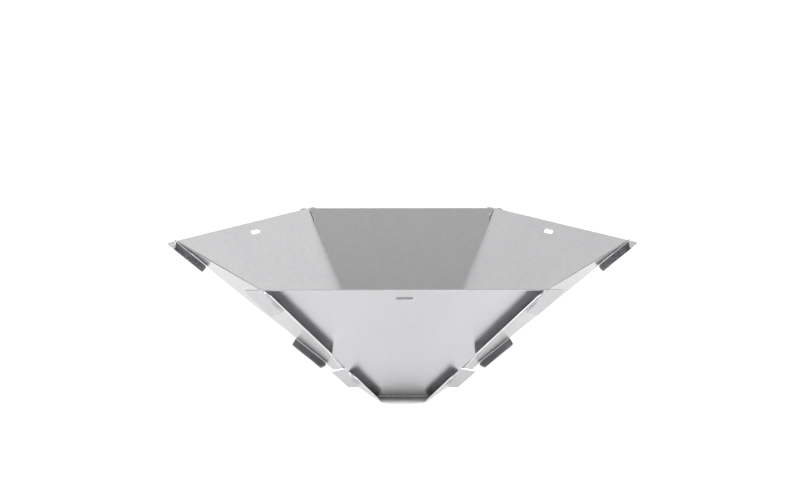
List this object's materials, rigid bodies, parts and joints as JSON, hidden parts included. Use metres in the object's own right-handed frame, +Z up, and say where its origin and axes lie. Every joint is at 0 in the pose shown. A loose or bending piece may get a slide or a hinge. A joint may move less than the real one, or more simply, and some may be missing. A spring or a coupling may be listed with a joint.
{
  "type": "fire pit",
  "caption": "Hexagonal plug-together fire bowl of flat sheet steel: hook panels and slot panels lock at leaning corner seams around a loose base plate.",
  "frame": {"origin": "on the ground, on the axis of the bowl", "axes": "+Z up along the axis of the bowl, -Y towards the middle of the front hook panel, +X along that panel's rim"},
  "size_m": [0.6176, 0.5451, 0.198],
  "materials": {
    "panel_steel": "satin stainless sheet, laser-cut edges",
    "base_steel": "satin stainless sheet, laser-cut edges"
  },
  "bodies": {
    "rear_slot_panel": {"rear_slot_panel": "panel_steel"},
    "front_hook_panel": {"front_hook_panel": "panel_steel"},
    "rear_left_hook_panel": {"rear_left_hook_panel": "panel_steel"},
    "rear_right_hook_panel": {"rear_right_hook_panel": "panel_steel"},
    "front_left_slot_panel": {"front_left_slot_panel": "panel_steel"},
    "front_right_slot_panel": {"front_right_slot_panel": "panel_steel"},
    "base_plate": {"base_plate": "base_steel"}
  },
  "joints": [
    {"name": "rear_left_hook_slide", "type": "slide", "parent": "rear_slot_panel", "child": "rear_left_hook_panel", "axis": [-0.378, 0.6547, 0.6547], "range_m": [0, 0.026]},
    {"name": "rear_right_hook_slide", "type": "slide", "parent": "rear_slot_panel", "child": "rear_right_hook_panel", "axis": [0.378, 0.6547, 0.6547], "range_m": [0, 0.026]},
    {"name": "front_left_slot_slide", "type": "slide", "parent": "rear_left_hook_panel", "child": "front_left_slot_panel", "axis": [0.7559, 0, -0.6547], "range_m": [0, 0.026]},
    {"name": "front_right_slot_slide", "type": "slide", "parent": "rear_right_hook_panel", "child": "front_right_slot_panel", "axis": [-0.7559, 0, -0.6547], "range_m": [0, 0.026]},
    {"name": "front_hook_slide", "type": "slide", "parent": "front_left_slot_panel", "child": "front_hook_panel", "axis": [-0.378, -0.6547, 0.6547], "range_m": [0, 0.026]},
    {"name": "base_plate_slide", "type": "slide", "parent": "rear_slot_panel", "child": "base_plate", "axis": [0, 0.7071, 0.7071], "range_m": [0, 0.01605]}
  ],
  "couplings": [
    {"joint": "rear_right_hook_slide", "follows": "rear_left_hook_slide", "ratio": 1},
    {"joint": "front_left_slot_slide", "follows": "rear_left_hook_slide", "ratio": 1},
    {"joint": "front_right_slot_slide", "follows": "rear_left_hook_slide", "ratio": 1},
    {"joint": "front_hook_slide", "follows": "rear_left_hook_slide", "ratio": 1},
    {"joint": "base_plate_slide", "follows": "rear_left_hook_slide", "ratio": 0.61721}
  ]
}
